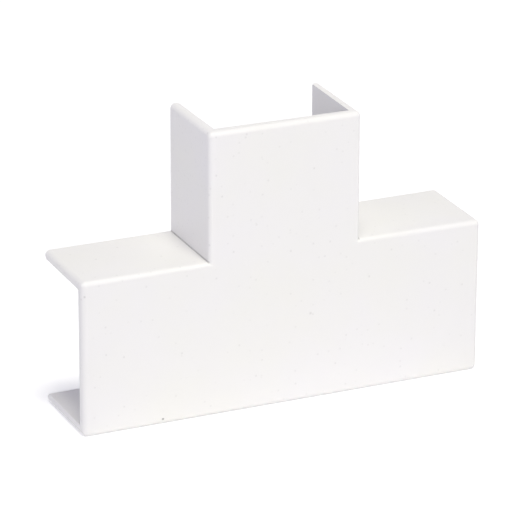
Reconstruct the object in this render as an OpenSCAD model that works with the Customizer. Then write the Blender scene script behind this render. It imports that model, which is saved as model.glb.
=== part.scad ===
// Flat tee for mini trunking: one clip-over moulding that covers the joint where a branch
// leaves a run. It stands on the run's long wall, with the branch up and the front plate
// towards -Y. The open back, which lies against the building's wall, is towards +Y.
// The origin is under the middle of the footprint, on the face that it stands on.

/* [Trunking] */
// Width of the trunking that each mouth takes
trunking_w = 25; // [16:1:60]
// Depth of the trunking off the building's wall
trunking_d = 16; // [10:1:40]
// Free space between the trunking and the inner faces
fit_gap = 0.25; // [0.1:0.05:0.5]

/* [Moulding] */
// Thickness of the front plate
plate_t = 1.8; // [1.4:0.1:3]
// Thickness of the side walls where they leave the plate
wall_t = 1.8; // [1.4:0.1:3]
// Reach of each arm of the run, from the branch's outer face to the mouth
arm_reach = 24; // [14:1:60]
// Reach of the branch, from the run's outer face to the mouth
branch_reach = 24; // [14:1:60]
// Room left between the walls' rim and the building's wall
rim_gap = 0.6; // [0:0.1:1.5]
// Draft of the inner faces, in degrees, which lets the core pull out of the back
core_draft = 0.4; // [0:0.1:0.8]

/* [Edges] */
// Radius of the outer edges
edge_r = 0.9; // [0.4:0.1:1.2]
// Radius of the inner root between the plate and the walls
root_r = 0.3; // [0.1:0.1:0.6]
// Bevel along the inside of the rim, which leads the trunking in
lead_in = 0.4; // [0.2:0.1:0.6]

/* [Grip ribs] */
// Free space between the trunking and the crest of a rib
rib_gap = 0.05; // [0:0.01:0.08]
// Width of a rib where it leaves the inner face
rib_w = 1.6; // [1.2:0.1:2.4]
// Distance of a rib's middle from its mouth
rib_inset = 9; // [6:0.5:12]
// Distance of a rib's end from the rim
rib_setback = 2.5; // [1:0.5:5]
// Length of the taper at a rib's end
rib_taper = 1.5; // [0.5:0.5:3]

/* [Hidden] */

inner_w = trunking_w + 2 * fit_gap;
outer_w = inner_w + 2 * wall_t;
inner_d = trunking_d + fit_gap - rim_gap;
depth = inner_d + plate_t;
run_l = outer_w + 2 * arm_reach;
branch_top = outer_w + branch_reach;

front_y = -depth / 2;
back_y = depth / 2;
plate_y = front_y + plate_t;
run_z = outer_w / 2;

// How far a cutting solid runs past the face that it opens
over = 2;
round_fn = 48;

// Box from its lowest corner to its highest
module span(low, high) {
  translate(low) cube(high - low);
}

// Front view of a block, a rectangle with round corners, drawn with z as its second axis
module block_outline(x, z) {
  translate([x[0] + edge_r, z[0]]) square([x[1] - x[0] - 2 * edge_r, z[1] - z[0]]);
  translate([x[0], z[0] + edge_r]) square([x[1] - x[0], z[1] - z[0] - 2 * edge_r]);
  for (u = [x[0] + edge_r, x[1] - edge_r], v = [z[0] + edge_r, z[1] - edge_r])
    translate([u, v]) circle(r = edge_r, $fn = round_fn);
}

// Block with a flat back, whose front is a flat field inside rods along its four edges
// and balls at its corners
module soft_block(x, z) {
  y = front_y + edge_r;
  x_in = [x[0] + edge_r, x[1] - edge_r];
  z_in = [z[0] + edge_r, z[1] - edge_r];
  translate([0, back_y, 0]) rotate([90, 0, 0]) linear_extrude(back_y - y) block_outline(x, z);
  span([x_in[0], front_y, z_in[0]], [x_in[1], back_y, z_in[1]]);
  for (v = z_in)
    translate([x_in[0], y, v]) rotate([0, 90, 0]) cylinder(r = edge_r, h = x_in[1] - x_in[0], $fn = round_fn);
  for (u = x_in)
    translate([u, y, z_in[0]]) cylinder(r = edge_r, h = z_in[1] - z_in[0], $fn = round_fn);
  for (u = x_in, v = z_in)
    translate([u, y, v]) sphere(r = edge_r, $fn = round_fn);
}

// Outside of the fitting: the branch's block grows out of the middle of the run's, so their
// rounded edges meet in a mitre at the two inside corners
module outside() {
  soft_block([-run_l / 2, run_l / 2], [0, outer_w]);
  soft_block([-outer_w / 2, outer_w / 2], [run_z, branch_top]);
}

// Section of a channel, across it (x) and off the plate (y): root radii, draft and lead-in
module channel_section() {
  half = inner_w / 2;
  rim_half = half + tan(core_draft) * inner_d;
  polygon([
    [half, root_r],
    [rim_half, inner_d - lead_in],
    [rim_half + lead_in, inner_d],
    [rim_half + lead_in, inner_d + over],
    [-rim_half - lead_in, inner_d + over],
    [-rim_half - lead_in, inner_d],
    [-rim_half, inner_d - lead_in],
    [-half, root_r]
  ]);
  translate([-half + root_r, 0]) square([2 * (half - root_r), 2 * root_r]);
  for (side = [-1, 1])
    translate([side * (half - root_r), root_r]) circle(r = root_r, $fn = round_fn);
}

// The pair of grip ribs near a mouth, low round ridges down opposite walls of a channel
module rib_pair() {
  rib_h = fit_gap - rib_gap;
  rib_r = (rib_w * rib_w / 4 + rib_h * rib_h) / (2 * rib_h);
  sunk_r = rib_r - rib_h - tan(core_draft) * inner_d;
  ridge_l = inner_d - rib_setback - rib_taper;
  for (side = [-1, 1])
    translate([side * (trunking_w / 2 + rib_gap + rib_r), 0, 0]) rotate([-90, 0, 0]) {
      cylinder(r = rib_r, h = ridge_l, $fn = 2 * round_fn);
      translate([0, 0, ridge_l]) cylinder(r1 = rib_r, r2 = sunk_r, h = rib_taper, $fn = 2 * round_fn);
    }
}

// Channel for one length of trunking. It starts at its mouth, at z = 0, and runs down -z.
module channel(length) {
  difference() {
    translate([0, 0, -length]) linear_extrude(length + over) channel_section();
    translate([0, 0, -rib_inset]) rib_pair();
  }
}

// Inside of the fitting: half a channel from each end of the run, and the branch's from its
// mouth to the run's middle line
module inside() {
  for (side = [-1, 1])
    translate([side * run_l / 2, plate_y, run_z]) rotate([0, side * 90, 0]) channel(run_l / 2);
  translate([0, plate_y, branch_top]) channel(branch_top - run_z);
}

module tee_body() {
  color("white") difference() {
    outside();
    inside();
  }
}

tee_body();
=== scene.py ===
"""Flat tee for mini trunking, one white moulding, standing on the long wall of its run."""

import math

import bmesh
import bpy
from mathutils import Matrix, Quaternion, Vector


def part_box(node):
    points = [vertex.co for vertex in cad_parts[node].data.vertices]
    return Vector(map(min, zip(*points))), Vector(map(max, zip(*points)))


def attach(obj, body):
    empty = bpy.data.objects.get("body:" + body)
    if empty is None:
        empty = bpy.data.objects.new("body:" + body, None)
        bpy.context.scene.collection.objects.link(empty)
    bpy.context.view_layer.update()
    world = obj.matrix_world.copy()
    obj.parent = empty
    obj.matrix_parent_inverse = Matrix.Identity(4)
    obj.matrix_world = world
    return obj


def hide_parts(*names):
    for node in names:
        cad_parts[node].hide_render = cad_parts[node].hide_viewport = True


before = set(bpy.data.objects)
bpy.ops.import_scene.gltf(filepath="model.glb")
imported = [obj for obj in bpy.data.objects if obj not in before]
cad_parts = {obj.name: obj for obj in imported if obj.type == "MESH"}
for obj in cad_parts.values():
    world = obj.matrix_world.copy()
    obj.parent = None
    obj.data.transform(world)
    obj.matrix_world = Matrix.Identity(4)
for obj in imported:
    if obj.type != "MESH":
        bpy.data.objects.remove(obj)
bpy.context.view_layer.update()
scene = bpy.context.scene
scene.view_settings.view_transform = "Standard"

# Camera
# A long lens looks down on the front plate from the left, so that the left faces of the
# walls and the tops of the arms show. Its place was fitted to the part's edges and then
# trimmed.
mm = 0.001
camera_azimuth = math.radians(24.102)
camera_elevation = math.radians(21.449)
camera_roll = math.radians(0.219)
camera_distance = 668.5 * mm
camera_lens = 262.2
camera_aim = Vector((-1.46, 0, 25.01)) * mm

looking = Vector((
    math.sin(camera_azimuth) * math.cos(camera_elevation),
    math.cos(camera_azimuth) * math.cos(camera_elevation),
    -math.sin(camera_elevation),
))
camera_data = bpy.data.cameras.new("camera")
camera_data.lens = camera_lens
camera_data.sensor_width = 36
camera_data.clip_start = 50 * mm
camera = bpy.data.objects.new("camera", camera_data)
camera.location = camera_aim - looking * camera_distance
camera.rotation_mode = "QUATERNION"
camera.rotation_quaternion = looking.to_track_quat("-Z", "Y") @ Quaternion((0, 0, 1), camera_roll)
scene.collection.objects.link(camera)
scene.camera = camera

# Moulding: body
# The whole fitting is one shot of white rigid PVC. A flat T-shaped plate carries five side
# walls, which clip over the trunking on three sides. Its outer edges are rounded in the
# cavity, and the channels inside are drafted so that the core pulls out of the open back.
trunking_w = 25 * mm
fit_gap = 0.25 * mm
plate_t = 1.8 * mm
wall_t = 1.8 * mm
edge_r = 0.9 * mm
root_r = 0.3 * mm
lead_in = 0.4 * mm
mouth_ease = 0.22 * mm
rim_ease = 0.1 * mm
core_draft = math.radians(0.4)
edge_steps = 8
root_steps = 4
mouth_steps = 3
rim_steps = 2

low, high = (Vector(corner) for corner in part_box("tee_body"))
arm_h = trunking_w + 2 * fit_gap + 2 * wall_t
run_z = arm_h / 2
branch_half = arm_h / 2
front_y, back_y, plate_y = low.y, high.y, low.y + plate_t
draft_gain = math.tan(core_draft) * (back_y - plate_y)
hair = 0.001 * mm


def near(a, b):
    return abs(a - b) < hair


def all_geometry(bm):
    return bm.verts[:] + bm.edges[:] + bm.faces[:]


def in_wall(point):
    """Whether a point of the plate's plan lies under a side wall."""
    x, z = abs(point.x), point.z
    bottom_wall = z < wall_t
    arm_wall = arm_h - wall_t < z < arm_h and x > branch_half - wall_t
    branch_wall = z > arm_h - wall_t and branch_half - wall_t < x < branch_half
    return bottom_wall or arm_wall or branch_wall


def settle(bm):
    """Numbers the mesh by place. Operators number what they make by chance, which would change
    the shading a little from run to run."""
    verts = sorted(bm.verts, key=lambda vert: tuple(round(along / hair) for along in vert.co))
    number = {vert: index for index, vert in enumerate(verts)}
    rings = []
    for face in bm.faces:
        ring = [number[vert] for vert in face.verts]
        first = ring.index(min(ring))
        rings.append(ring[first:] + ring[:first])
    places = [vert.co.copy() for vert in verts]
    bm.clear()
    made = [bm.verts.new(place) for place in places]
    for ring in sorted(rings):
        bm.faces.new([made[index] for index in ring])
    bm.normal_update()


def bevel(bm, edges, offset, segments):
    bmesh.ops.bevel(
        bm, geom=edges, offset=offset, offset_type="OFFSET", affect="EDGES", segments=segments,
        profile=0.5, material=-1, clamp_overlap=False, loop_slide=True,
    )
    settle(bm)


bm = bmesh.new()
bmesh.ops.create_grid(bm, x_segments=1, y_segments=1, size=0.5)
bmesh.ops.rotate(bm, verts=bm.verts, matrix=Matrix.Rotation(math.radians(90), 3, "X"))
bmesh.ops.scale(bm, verts=bm.verts, vec=(high.x - low.x, 1, high.z - low.z))
bmesh.ops.translate(bm, verts=bm.verts, vec=(0, front_y, (low.z + high.z) / 2))
for x in (-branch_half, wall_t - branch_half, branch_half - wall_t, branch_half):
    bmesh.ops.bisect_plane(bm, geom=all_geometry(bm), plane_co=(x, 0, 0), plane_no=(1, 0, 0))
for z in (wall_t, arm_h - wall_t, arm_h):
    bmesh.ops.bisect_plane(bm, geom=all_geometry(bm), plane_co=(0, 0, z), plane_no=(0, 0, 1))
beside_branch = [
    face for face in bm.faces
    if face.calc_center_median().z > arm_h and abs(face.calc_center_median().x) > branch_half
]
bmesh.ops.delete(bm, geom=beside_branch, context="FACES")

plate = bmesh.ops.extrude_face_region(bm, geom=bm.faces[:])["geom"]
plate_verts = [part for part in plate if isinstance(part, bmesh.types.BMVert)]
bmesh.ops.translate(bm, verts=plate_verts, vec=(0, plate_t, 0))
settle(bm)
wall_cells = [
    face for face in bm.faces
    if all(near(vert.co.y, plate_y) for vert in face.verts) and in_wall(face.calc_center_median())
]
walls = bmesh.ops.extrude_face_region(bm, geom=wall_cells)["geom"]
wall_verts = [part for part in walls if isinstance(part, bmesh.types.BMVert)]
bmesh.ops.translate(bm, verts=wall_verts, vec=(0, back_y - plate_y, 0))
bmesh.ops.delete(bm, geom=wall_cells, context="FACES")
bmesh.ops.recalc_face_normals(bm, faces=bm.faces)
settle(bm)

bmesh.ops.dissolve_limit(
    bm, angle_limit=math.radians(0.5), verts=bm.verts, edges=bm.edges,
    use_dissolve_boundaries=False,
)
settle(bm)

# The core's draft: the inner faces lean outwards on their way from the plate to the rim
for vert in bm.verts:
    if near(vert.co.y, back_y):
        if near(vert.co.z, wall_t):
            vert.co.z -= draft_gain
        elif near(vert.co.z, arm_h - wall_t):
            vert.co.z += draft_gain
        if near(abs(vert.co.x), branch_half - wall_t):
            vert.co.x += math.copysign(draft_gain, vert.co.x)


def along_depth(edge):
    a, b = (vert.co for vert in edge.verts)
    return near(a.x, b.x) and near(a.z, b.z)


def is_outer_corner(point):
    """Whether a point is on one of the six outer edges along the depth, two at each mouth."""
    at_run_end = near(abs(point.x), high.x) and (near(point.z, low.z) or near(point.z, arm_h))
    at_branch_end = near(abs(point.x), branch_half) and near(point.z, high.z)
    return at_run_end or at_branch_end


def on_inner_face(point):
    gain = draft_gain if near(point.y, back_y) else 0
    at_bottom = near(point.z, wall_t - gain)
    at_arm_top = near(point.z, arm_h - wall_t + gain) and abs(point.x) > branch_half - 2 * wall_t
    at_branch = near(abs(point.x), branch_half - wall_t + gain) and point.z > arm_h - 2 * wall_t
    return at_bottom, at_arm_top, at_branch


def is_inside_line(edge):
    """Whether an edge runs along one of the channels' side faces."""
    a, b = (on_inner_face(vert.co) for vert in edge.verts)
    return any(one and other for one, other in zip(a, b))


def is_mouth_edge(edge):
    """Whether an edge goes round the inside of a mouth."""
    a, b = (vert.co for vert in edge.verts)
    reach = draft_gain + lead_in + hair
    if min(a.y, b.y) < plate_y - hair:
        return False
    if near(abs(a.x), high.x) and near(a.x, b.x):
        return min(a.z, b.z) > wall_t - reach and max(a.z, b.z) < arm_h - wall_t + reach
    if near(a.z, high.z) and near(b.z, high.z):
        return max(abs(a.x), abs(b.x)) < branch_half - wall_t + reach
    return False


outer_edges = [
    edge for edge in bm.edges
    if all(near(vert.co.y, front_y) for vert in edge.verts)
    or (along_depth(edge) and is_outer_corner(edge.verts[0].co))
]
bevel(bm, outer_edges, edge_r, edge_steps)

root_edges = [
    edge for edge in bm.edges
    if all(near(vert.co.y, plate_y) for vert in edge.verts) and is_inside_line(edge)
]
bevel(bm, root_edges, root_r, root_steps)

lead_edges = [
    edge for edge in bm.edges
    if all(near(vert.co.y, back_y) for vert in edge.verts) and is_inside_line(edge)
]
bevel(bm, lead_edges, lead_in, 1)
bevel(bm, [edge for edge in bm.edges if is_mouth_edge(edge)], mouth_ease, mouth_steps)
square_edge = math.radians(80)
rim_edges = [
    edge for edge in bm.edges
    if all(near(vert.co.y, back_y) for vert in edge.verts) and edge.calc_face_angle(0) > square_edge
]
bevel(bm, rim_edges, rim_ease, rim_steps)
bmesh.ops.dissolve_degenerate(bm, dist=hair, edges=bm.edges)
settle(bm)

# Moulding: grip ribs
# A pair of low round ridges down opposite walls near each mouth, of the same shot of PVC,
# which grip the trunking. The inner face of the wall is cut where a ridge stands, and what
# lies between the cuts is pressed inwards.
rib_half = 0.8 * mm
rib_h = 0.2 * mm
rib_r = (rib_half ** 2 + rib_h ** 2) / (2 * rib_h)
rib_inset = 9 * mm
rib_setback = 2.5 * mm
rib_taper = 1.5 * mm
rib_steps = 4
taper_end = back_y - rib_setback
ridge_end = taper_end - rib_taper
inner_half = branch_half - wall_t


def cut(faces, point, normal):
    """Cuts faces along a plane. Sets have no fixed order, so dicts keep each run the same."""
    edges = dict.fromkeys(edge for face in faces for edge in face.edges)
    verts = dict.fromkeys(vert for face in faces for vert in face.verts)
    bmesh.ops.bisect_plane(
        bm, geom=[*verts, *edges, *faces], dist=hair / 10, plane_co=point, plane_no=normal,
    )


def press_rib(along, across, place, middle, side):
    """A rib at a place along a channel, on the wall at one side of the channel's middle."""
    normal = Vector.Fill(3, 0)
    normal[along] = 1

    def on_wall(vert):
        out = side * (vert.co[across] - middle)
        in_reach = inner_half - root_r - hair < out < inner_half + draft_gain + hair
        return in_reach and plate_y - hair < vert.co.y < back_y - lead_in + hair

    def wall_faces(reach, top):
        return [
            face for face in bm.faces
            if all(on_wall(vert) for vert in face.verts)
            and abs(face.calc_center_median()[along] - place) < reach
            and face.calc_center_median().y < top
        ]

    for edge_of_rib in (-rib_half, rib_half):
        cut(wall_faces(high.x, back_y), normal * (place + edge_of_rib), normal)
    for y in (taper_end, ridge_end):
        cut(wall_faces(rib_half, back_y), (0, y, 0), (0, 1, 0))
    for step in range(1 - rib_steps, rib_steps):
        cut(wall_faces(rib_half, taper_end), normal * (place + step * rib_half / rib_steps), normal)
    for vert in bm.verts:
        u = vert.co[along] - place
        if abs(u) < rib_half - hair and vert.co.y < taper_end - hair and on_wall(vert):
            rise = rib_h + math.tan(core_draft) * (vert.co.y - plate_y)
            if vert.co.y > ridge_end + hair:
                rise = 0
            arch = (math.sqrt(rib_r ** 2 - u ** 2) - rib_r + rib_h) / rib_h
            vert.co[across] -= side * rise * arch


for side in (-1, 1):
    for mouth in (-1, 1):
        press_rib(0, 2, mouth * (high.x - rib_inset), run_z, side)
    press_rib(2, 0, high.z - rib_inset, 0, side)


# Moulding: marks inside the plate
# What the mould usually leaves on such a part: six ejector pins, just below the face, and
# the trimmed gate between them, just above it. None of them shows from the front.
mark_cell = 1.8 * mm
mark_margin = 0.2 * mm
mark_cuts = 5
pin_r = 1.25 * mm
pin_sink = -0.06 * mm
gate_r = 0.7 * mm
gate_rise = 0.12 * mm
arm_pins = [(side * 31 * mm, run_z) for side in (-1, 1)]
middle_pins = [(x * mm, z * mm) for x, z in ((-15, 7), (15, 7), (-6, 34), (6, 47))]
core_marks = [(x, z, pin_r, pin_sink) for x, z in arm_pins + middle_pins]
core_marks.append((0, 17 * mm, gate_r, gate_rise))


def plate_faces_round(point):
    """The faces on the plate's inner side whose box holds the point."""
    flat = [face for face in bm.faces if all(near(vert.co.y, plate_y) for vert in face.verts)]
    return [
        face for face in flat
        if all(
            min(vert.co[axis] for vert in face.verts) < point[axis]
            and point[axis] < max(vert.co[axis] for vert in face.verts)
            for axis in (0, 2)
        )
    ]


for x, z, radius, height in core_marks:
    middle = Vector((x, plate_y, z))
    for axis, side in ((0, -1), (0, 1), (2, -1), (2, 1)):
        across = Vector.Fill(3, 0)
        across[axis] = side
        cut(plate_faces_round(middle), middle + across * mark_cell, across)
    cells = plate_faces_round(middle)
    cell = min(cells, key=lambda face: (face.calc_center_median() - middle).length)
    bmesh.ops.subdivide_edges(bm, edges=cell.edges, cuts=mark_cuts)
    bmesh.ops.inset_individual(bm, faces=[cell], thickness=mark_margin)
    for vert in cell.verts:
        vert.co = middle + (vert.co - middle).normalized() * radius
    step = bmesh.ops.extrude_face_region(bm, geom=[cell])["geom"]
    step_verts = [part for part in step if isinstance(part, bmesh.types.BMVert)]
    bmesh.ops.translate(bm, verts=step_verts, vec=(0, height, 0))
    bmesh.ops.delete(bm, geom=[cell], context="FACES")
    settle(bm)

moulding_mesh = bpy.data.meshes.new("tee_moulding")
bm.to_mesh(moulding_mesh)
bm.free()
moulding = bpy.data.objects.new("tee_moulding", moulding_mesh)
scene.collection.objects.link(moulding)
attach(moulding, "root")
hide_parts("tee_body")


# Material: white PVC
# Rigid PVC as moulded, and a little used. Its white drifts between warm and cool, fine dark
# grains lie all over it, a few specks stand out, and painted shade darkens the two inside corners.


class Flow:
    """One output in a shader tree. Arithmetic on it adds the Math nodes that it needs."""

    def __init__(self, tree, socket=None):
        self.tree = tree
        self.socket = socket

    def node(self, kind, settings=None, sockets=None, output=0):
        """Adds a node: its type, its settings, and the values or links of its sockets."""
        made = self.tree.nodes.new(kind)
        for name, value in (settings or {}).items():
            setattr(made, name, value)
        for key, value in (sockets or {}).items():
            if isinstance(value, Flow):
                self.tree.links.new(value.socket, made.inputs[key])
            else:
                made.inputs[key].default_value = value
        return Flow(self.tree, made.outputs[output] if made.outputs else None)

    def math(self, operation, a, b=0.0):
        return self.node("ShaderNodeMath", {"operation": operation}, {0: a, 1: b})

    def mix(self, share, a, b):
        """A colour between two others."""
        sockets = {0: share, 6: a, 7: b}
        return self.node("ShaderNodeMix", {"data_type": "RGBA"}, sockets, output=2)

    def __add__(self, other):
        return self.math("ADD", self, other)

    def __radd__(self, other):
        return self.math("ADD", other, self)

    def __sub__(self, other):
        return self.math("SUBTRACT", self, other)

    def __rsub__(self, other):
        return self.math("SUBTRACT", other, self)

    def __mul__(self, other):
        return self.math("MULTIPLY", self, other)

    def __rmul__(self, other):
        return self.math("MULTIPLY", other, self)

    def __truediv__(self, other):
        return self.math("DIVIDE", self, other)


def new_material(name):
    material = bpy.data.materials.new(name)
    material.use_nodes = True
    material.node_tree.nodes.clear()
    return material, Flow(material.node_tree)


warm_white = (0.885, 0.876, 0.842, 1)
cool_white = (0.886, 0.873, 0.872, 1)
# The dark of the grains and specks, and of the painted shade in the two inside corners
dirt_and_shade = (0.05, 0.045, 0.04, 1)
drift_scale = 60
drift_strength = 2.6
texture_scale = 3500
texture_h = 0.02 * mm
texture_strength = 0.2
roughness = 0.36
roughness_drift = 0.1
grain_cell = 1.1 * mm
grain_reach = 0.26
grain_depth = 0.6
bare_share = 0.72
# Width and darkness of the painted shade along the two inside corners
crease_shade_reach = 0.3 * mm
crease_shade_depth = 0.42
front = front_y / mm
top = arm_h / mm

# Specks: place on the surface and radius, both in millimetres, and the share of dirt
specks = [
    ((-23.5, front, 1), 0.3, 0.85),
    ((-38, front, 26.5), 0.3, 0.3),
    ((5, front, 16.5), 0.35, 0.2),
    ((10, front, 6), 0.25, 0.15),
    ((-7.5, front, 52), 0.25, 0.15),
    ((-31.5, -7.5, top), 0.3, 0.15),
    ((-32, 1, top), 0.3, 0.15),
]

pvc, shade = new_material("white_pvc")
place = shade.node("ShaderNodeTexCoord", output=3)
x = shade.node("ShaderNodeSeparateXYZ", {}, {0: place}, output=0)
z = shade.node("ShaderNodeSeparateXYZ", {}, {0: place}, output=2)
cloud = shade.node("ShaderNodeTexNoise", {}, {"Vector": place, "Scale": drift_scale, "Detail": 3})
texture = shade.node("ShaderNodeTexNoise", {}, {"Vector": place, "Scale": texture_scale, "Detail": 2})

cell_sockets = {"Vector": place, "Scale": 1 / grain_cell}
from_grain = shade.node("ShaderNodeTexVoronoi", {}, cell_sockets)
cell_color = shade.node("ShaderNodeTexVoronoi", {}, cell_sockets, output=1)
cell_tone = shade.node("ShaderNodeSeparateXYZ", {}, {0: cell_color})
cell_depth = grain_depth * shade.math("MAXIMUM", cell_tone - bare_share, 0)
stain_and_shade = cell_depth * shade.math("MAXIMUM", 1 - from_grain / grain_reach, 0)
for spot, radius, depth in specks:
    ends = {0: place, 1: Vector(spot) * mm}
    away = shade.node("ShaderNodeVectorMath", {"operation": "DISTANCE"}, ends, output=1)
    stain_and_shade = stain_and_shade + depth * shade.math("MAXIMUM", 1 - away / (radius * mm), 0)
# Painted shade: a thin dark line along the two inside corners where the branch walls meet the arm tops
across = shade.math("ABSOLUTE", x) - branch_half
above = z - arm_h
from_corner = shade.math("SQRT", across * across + above * above)
stain_and_shade = stain_and_shade + crease_shade_depth * shade.math("MAXIMUM", 1 - from_corner / crease_shade_reach, 0)

drift = 0.5 + drift_strength * (cloud - 0.5)
tint = shade.mix(drift, warm_white, cool_white)
# The tint darkened by the grains and specks and by the painted shade in the inside corners
stained_and_shaded = shade.mix(shade.math("MINIMUM", stain_and_shade, 1), tint, dirt_and_shade)
bump = shade.node(
    "ShaderNodeBump", {}, {"Height": texture, "Strength": texture_strength, "Distance": texture_h},
)
plastic = shade.node("ShaderNodeBsdfPrincipled", {}, {
    "Base Color": stained_and_shaded, "Roughness": roughness + roughness_drift * cloud, "Normal": bump, "IOR": 1.5,
})
shade.node("ShaderNodeOutputMaterial", {}, {"Surface": plastic})

sharp_from = math.radians(25)
moulding_mesh.materials.append(pvc)
moulding_mesh.shade_smooth()
moulding_mesh.set_sharp_from_angle(angle=sharp_from)
flats = moulding.modifiers.new("flat faces stay flat", "WEIGHTED_NORMAL")
flats.keep_sharp = True

# Studio
# A pale floor under a white surround, with four soft lamps: in front, above and at each side.
# The surround and the floor show white to the camera and in reflections, and they light the
# part less than that.
floor_r = 6
floor_tone = (0.9, 0.9, 0.9, 1)
floor_glow = 0.06
floor_shown = 0.3
white = (1, 1, 1, 1)
sky_tint = (1, 0.983, 1.27, 1)
sky_light = 0.28

floor_mesh = bpy.data.meshes.new("floor")
bm = bmesh.new()
bmesh.ops.create_circle(bm, cap_ends=True, segments=96, radius=floor_r)
bm.to_mesh(floor_mesh)
bm.free()
floor = bpy.data.objects.new("floor", floor_mesh)
scene.collection.objects.link(floor)


def backdrop_rays(shade):
    """Camera, reflected and refracted rays, which all see the white backdrop."""
    camera_rays = shade.node("ShaderNodeLightPath", output="Is Camera Ray")
    reflected_rays = shade.node("ShaderNodeLightPath", output="Is Glossy Ray")
    refracted_rays = shade.node("ShaderNodeLightPath", output="Is Transmission Ray")
    shown = shade.math("MAXIMUM", camera_rays, reflected_rays)
    return shade.math("MAXIMUM", shown, refracted_rays)


floor_white, shade = new_material("floor_white")
shown = backdrop_rays(shade)
matt = shade.node("ShaderNodeBsdfDiffuse", {}, {"Color": floor_tone})
strength = floor_glow + floor_shown * shown
glow = shade.node("ShaderNodeEmission", {}, {"Color": white, "Strength": strength})
both = shade.node("ShaderNodeAddShader", {}, {0: matt, 1: glow})
shade.node("ShaderNodeOutputMaterial", {}, {"Surface": both})
floor_mesh.materials.append(floor_white)

world = bpy.data.worlds.new("surround")
scene.world = world
world.use_nodes = True
world.node_tree.nodes.clear()
shade = Flow(world.node_tree)
shown = backdrop_rays(shade)
sky = shade.node("ShaderNodeBackground", {}, {
    "Color": shade.mix(shown, sky_tint, white),
    "Strength": sky_light + (1 - sky_light) * shown,
})
shade.node("ShaderNodeOutputWorld", {}, {"Surface": sky})


lamp_aim = Vector((0, 0, 0.025))
lamp_size = 0.4


def add_lamp(name, place, power, color):
    data = bpy.data.lights.new(name, "AREA")
    data.color = color
    data.shape = "DISK"
    data.size = lamp_size
    data.energy = power
    lamp = bpy.data.objects.new(name, data)
    lamp.location = place
    lamp.rotation_mode = "QUATERNION"
    lamp.rotation_quaternion = (lamp_aim - Vector(place)).to_track_quat("-Z", "Y")
    scene.collection.objects.link(lamp)


add_lamp("key", (0.15, -0.95, 0.42), 1.66, (1, 1, 0.92))
add_lamp("top", (-0.04, -0.26, 1.1), 7, (1, 0.99, 0.865))
add_lamp("left", (-0.8, -0.55, 0.2), 1.45, (1, 1, 1.06))
add_lamp("right", (0.85, -0.3, 0.25), 0.9, (1, 1, 1))
